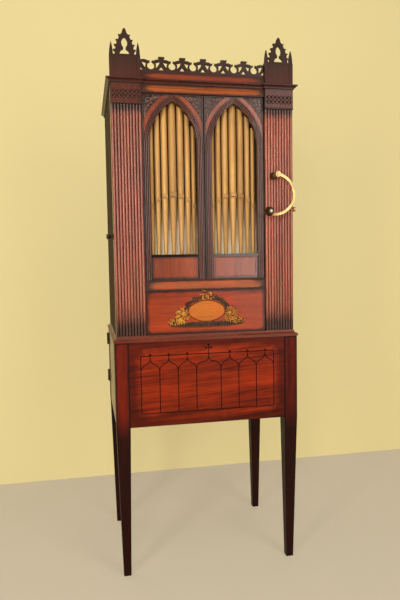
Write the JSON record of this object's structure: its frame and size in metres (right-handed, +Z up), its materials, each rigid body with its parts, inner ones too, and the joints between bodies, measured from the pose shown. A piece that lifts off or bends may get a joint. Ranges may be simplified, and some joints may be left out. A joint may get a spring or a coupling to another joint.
{
  "type": "chamber barrel organ",
  "caption": "Hand-cranked domestic pipe organ: a tall mahogany Gothic case with lancet pipe fronts and a pierced crest, on a boxed stand with tapered legs.",
  "frame": {"origin": "on the floor, under the middle of the overall box, crank included", "axes": "+Z up; the pipe front, the pilasters and the crank face -Y; +X is to the right as seen from the front"},
  "size_m": [0.652, 0.5688, 1.791],
  "materials": {
    "mahogany": "polished figured mahogany",
    "reeded_mahogany": "polished mahogany, reeded",
    "red_mahogany": "deep red polished mahogany",
    "dark_mahogany": "dark stained mahogany",
    "carcase_wood": "plain stained carcase wood",
    "satinwood": "satinwood veneer",
    "cream_board": "painted board",
    "gilt": "matt gilding",
    "brass": "polished brass",
    "ebonised": "turned and blackened wood"
  },
  "bodies": {
    "case": {"case_side_left": "mahogany", "case_side_right": "mahogany", "frieze_left": "mahogany", "frieze_right": "mahogany", "arch_frame_left": "mahogany", "arch_frame_right": "mahogany", "fascia": "mahogany", "waist_rail": "mahogany", "plinth_board": "mahogany", "pilaster_left": "reeded_mahogany", "pilaster_right": "reeded_mahogany", "stand_front_panel": "red_mahogany", "stand_side_left": "red_mahogany", "stand_side_right": "red_mahogany", "base_panel": "red_mahogany", "leg_front_left": "dark_mahogany", "leg_front_right": "dark_mahogany", "leg_rear_left": "dark_mahogany", "leg_rear_right": "dark_mahogany", "stand_top": "dark_mahogany", "arch_moulding_left": "dark_mahogany", "arch_moulding_right": "dark_mahogany", "cornice": "dark_mahogany", "crest": "dark_mahogany", "pedestal_left": "dark_mahogany", "pedestal_right": "dark_mahogany", "pinnacle_left": "dark_mahogany", "pinnacle_right": "dark_mahogany", "stand_back_door": "carcase_wood", "stand_floor": "carcase_wood", "case_back": "carcase_wood", "roof_board": "carcase_wood", "pipe_ledge": "carcase_wood", "oval_plate": "satinwood", "pipe_backing": "cream_board", "pipes_left": "gilt", "pipes_right": "gilt", "back_hinges": "brass", "crank_escutcheon": "brass", "stop_escutcheons": "brass"},
    "crank": {"crank_arm": "brass", "knob_spindle": "brass"},
    "knob": {"crank_knob": "ebonised"},
    "stop_left_pull": {"stop_left": "ebonised"},
    "stop_right_pull": {"stop_right": "brass"}
  },
  "joints": [
    {"name": "crank_spin", "type": "hinge", "parent": "case", "child": "crank", "pos_m": [0.234, -0.2306, 1.335], "axis": [0, 1, 0], "continuous": true},
    {"name": "knob_spin", "type": "hinge", "parent": "crank", "child": "knob", "pos_m": [0.19281, -0.2591, 1.21117], "axis": [0, 1, 0], "continuous": true},
    {"name": "stop_left_slide", "type": "slide", "parent": "case", "child": "stop_left_pull", "axis": [-1, 0, 0], "range_m": [0, 0.018]},
    {"name": "stop_right_slide", "type": "slide", "parent": "case", "child": "stop_right_pull", "axis": [1, 0, 0], "range_m": [0, 0.018]}
  ]
}
